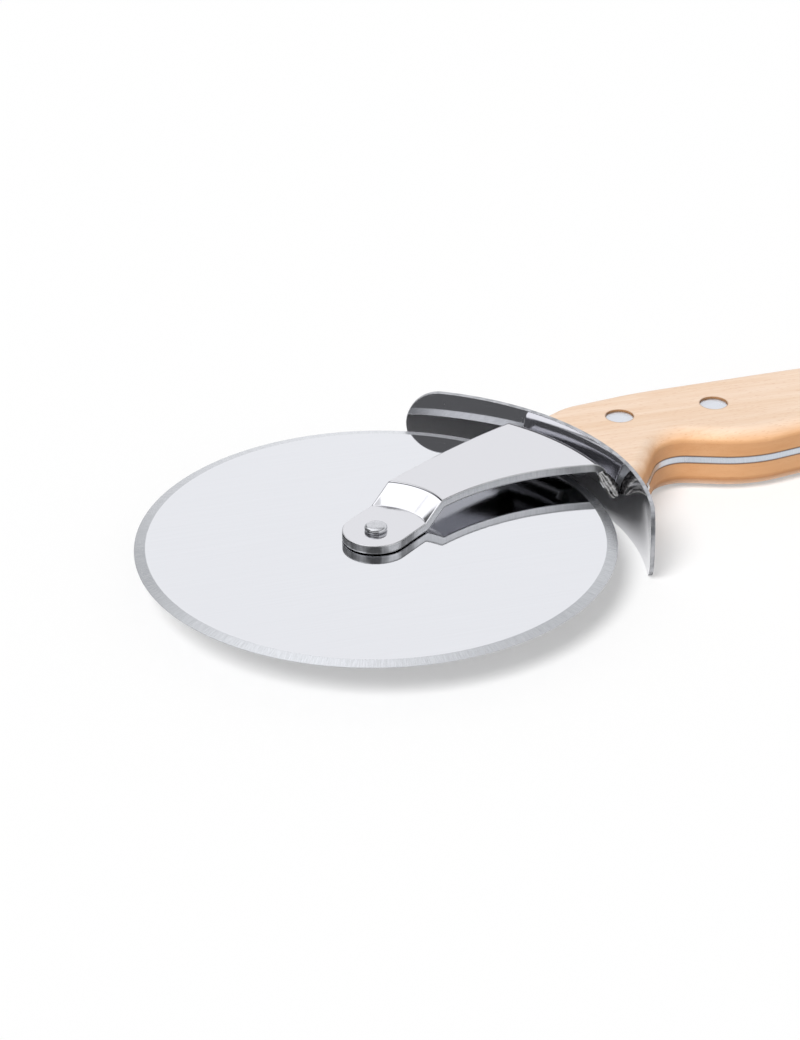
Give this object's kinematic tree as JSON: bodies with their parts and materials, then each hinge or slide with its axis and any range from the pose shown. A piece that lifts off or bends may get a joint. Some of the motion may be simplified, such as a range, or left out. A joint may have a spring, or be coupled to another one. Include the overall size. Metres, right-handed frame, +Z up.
{
  "type": "pizza cutter",
  "caption": "Hand-held rolling pizza cutter: a round blade spinning on a riveted axle in a stamped steel fork, with a curved finger guard and a riveted wooden handle.",
  "frame": {"origin": "bottom centre of the bounding box, with the cutter lying flat on the lower edge of its guard", "axes": "+X runs from the blade towards the butt of the handle, +Y towards the spine side of the handle, +Z up along the blade's axle"},
  "size_m": [0.2248, 0.1008, 0.016],
  "materials": {
    "blade steel": "bright polished sheet with a fine straight grain and a ground bevel",
    "fork steel": "satin on the flats, polished at the fold, sheared edges",
    "guard steel": "mirror polished sheet",
    "bright steel": "bright turned",
    "tang steel": "satin, sanded flush with the wood",
    "weld steel": "weld metal, brushed over",
    "handle rivet metal": "matt faced",
    "beech": "sanded beech, oiled, satin"
  },
  "bodies": {
    "frame": {"axle_rivet": "bright steel", "upper_washer": "bright steel", "lower_washer": "bright steel", "upper_fork_arm": "fork steel", "lower_fork_arm": "fork steel", "finger_guard": "guard steel", "near_fork_weld": "weld steel", "far_fork_weld": "weld steel", "tang": "tang steel", "near_tang_weld": "weld steel", "far_tang_weld": "weld steel", "upper_scale": "beech", "lower_scale": "beech", "front_rivet_barrel": "handle rivet metal", "front_rivet_pin": "handle rivet metal", "middle_rivet_barrel": "handle rivet metal", "middle_rivet_pin": "handle rivet metal", "rear_rivet_barrel": "handle rivet metal", "rear_rivet_pin": "handle rivet metal"},
    "wheel": {"wheel_blade": "blade steel"}
  },
  "joints": [
    {"name": "wheel_spin", "type": "hinge", "parent": "frame", "child": "wheel", "pos_m": [-0.06241, -0.00039, 0.008], "axis": [0, 0, 1], "continuous": true}
  ]
}
